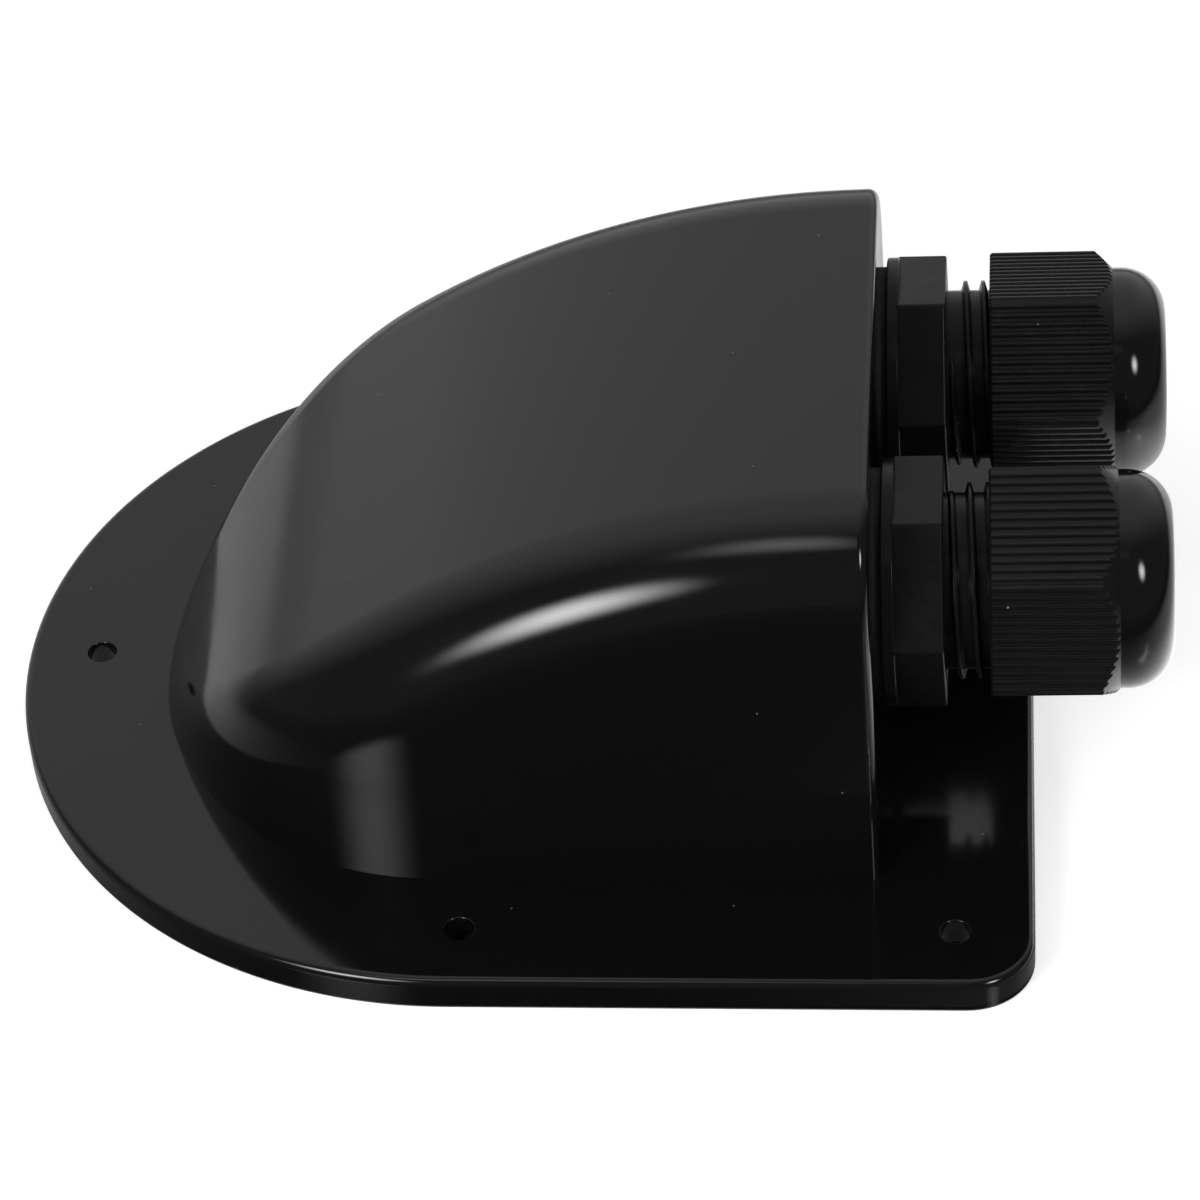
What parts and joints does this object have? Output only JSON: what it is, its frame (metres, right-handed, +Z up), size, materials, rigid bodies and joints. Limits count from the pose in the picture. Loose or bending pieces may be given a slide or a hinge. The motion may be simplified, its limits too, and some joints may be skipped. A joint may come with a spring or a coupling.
{
  "type": "roof cable entry box",
  "caption": "Domed cable entry housing on a D-shaped roof flange, with paired cable glands in its upright rear wall.",
  "frame": {"origin": "centre of the four side screw holes, on the roof face under the flange", "axes": "+X out of the rear wall through the glands, +Y to the right as seen facing the glands, +Z up from the roof"},
  "size_m": [0.1331, 0.107, 0.05],
  "materials": {
    "gloss_housing": "polished black moulded plastic",
    "satin_gland": "satin black moulded nylon",
    "gasket_rubber": "black flat rubber",
    "seal_rubber": "dark grey soft rubber"
  },
  "bodies": {
    "box": {"housing": "gloss_housing", "left_gland_body": "satin_gland", "left_gasket": "gasket_rubber", "left_lock_nut": "satin_gland", "right_gland_body": "satin_gland", "right_gasket": "gasket_rubber", "right_lock_nut": "satin_gland"},
    "left_clamp": {"left_claw": "satin_gland", "left_seal": "seal_rubber"},
    "left_nut": {"left_dome_nut": "satin_gland"},
    "right_clamp": {"right_claw": "satin_gland", "right_seal": "seal_rubber"},
    "right_nut": {"right_dome_nut": "satin_gland"}
  },
  "joints": [
    {"name": "left_nut_turn", "type": "hinge", "parent": "box", "child": "left_clamp", "pos_m": [0.01848, -0.018, 0.0308], "axis": [0.9998, 0, 0.0175], "range_deg": [-720, 720]},
    {"name": "left_nut_travel", "type": "slide", "parent": "left_clamp", "child": "left_nut", "axis": [0.9998, 0, 0.0175], "range_m": [-0.004, 0.004]},
    {"name": "right_nut_turn", "type": "hinge", "parent": "box", "child": "right_clamp", "pos_m": [0.01848, 0.018, 0.0308], "axis": [0.9998, 0, 0.0175], "range_deg": [-720, 720]},
    {"name": "right_nut_travel", "type": "slide", "parent": "right_clamp", "child": "right_nut", "axis": [0.9998, 0, 0.0175], "range_m": [-0.004, 0.004]}
  ],
  "couplings": [
    {"joint": "left_nut_travel", "follows": "left_nut_turn", "m_per_rad": 0.00031831},
    {"joint": "right_nut_travel", "follows": "right_nut_turn", "m_per_rad": 0.00031831}
  ]
}
